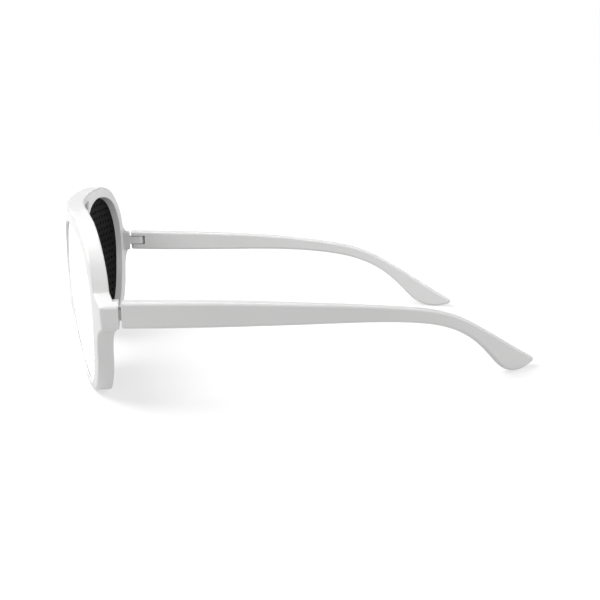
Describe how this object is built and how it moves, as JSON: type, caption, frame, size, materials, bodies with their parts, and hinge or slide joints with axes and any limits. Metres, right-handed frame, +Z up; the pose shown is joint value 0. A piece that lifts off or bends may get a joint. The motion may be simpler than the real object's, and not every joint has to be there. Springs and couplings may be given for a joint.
{
  "type": "pinhole_glasses",
  "caption": "White plastic aviator-shaped pinhole glasses with black perforated panels in place of lenses and folding temples that curve down and in at the tips",
  "frame": {"origin": "Middle of the open glasses' bounding box in plan, at the level of the rim bottoms and temple tips that they stand on.", "axes": "+X to the wearer's left, -Y the way the wearer looks, +Z up."},
  "size_m": [0.1446, 0.1612, 0.0583],
  "materials": {
    "white_plastic": "satin gloss",
    "black_panel": "satin, with a white front",
    "screw_steel": "bright"
  },
  "bodies": {
    "frame": {"front_frame": "white_plastic", "left_pinhole_panel": "black_panel", "right_pinhole_panel": "black_panel"},
    "left_temple": {"left_temple": "white_plastic", "left_hinge_screw": "screw_steel"},
    "right_temple": {"right_temple": "white_plastic", "right_hinge_screw": "screw_steel"}
  },
  "joints": [
    {"name": "left_temple_fold", "type": "hinge", "parent": "frame", "child": "left_temple", "pos_m": [0.06905, -0.05615, 0.0312], "axis": [0, 0, 1], "range_deg": [0, 83]},
    {"name": "right_temple_fold", "type": "hinge", "parent": "frame", "child": "right_temple", "pos_m": [-0.06905, -0.05615, 0.0312], "axis": [0, 0, -1], "range_deg": [0, 79]}
  ]
}
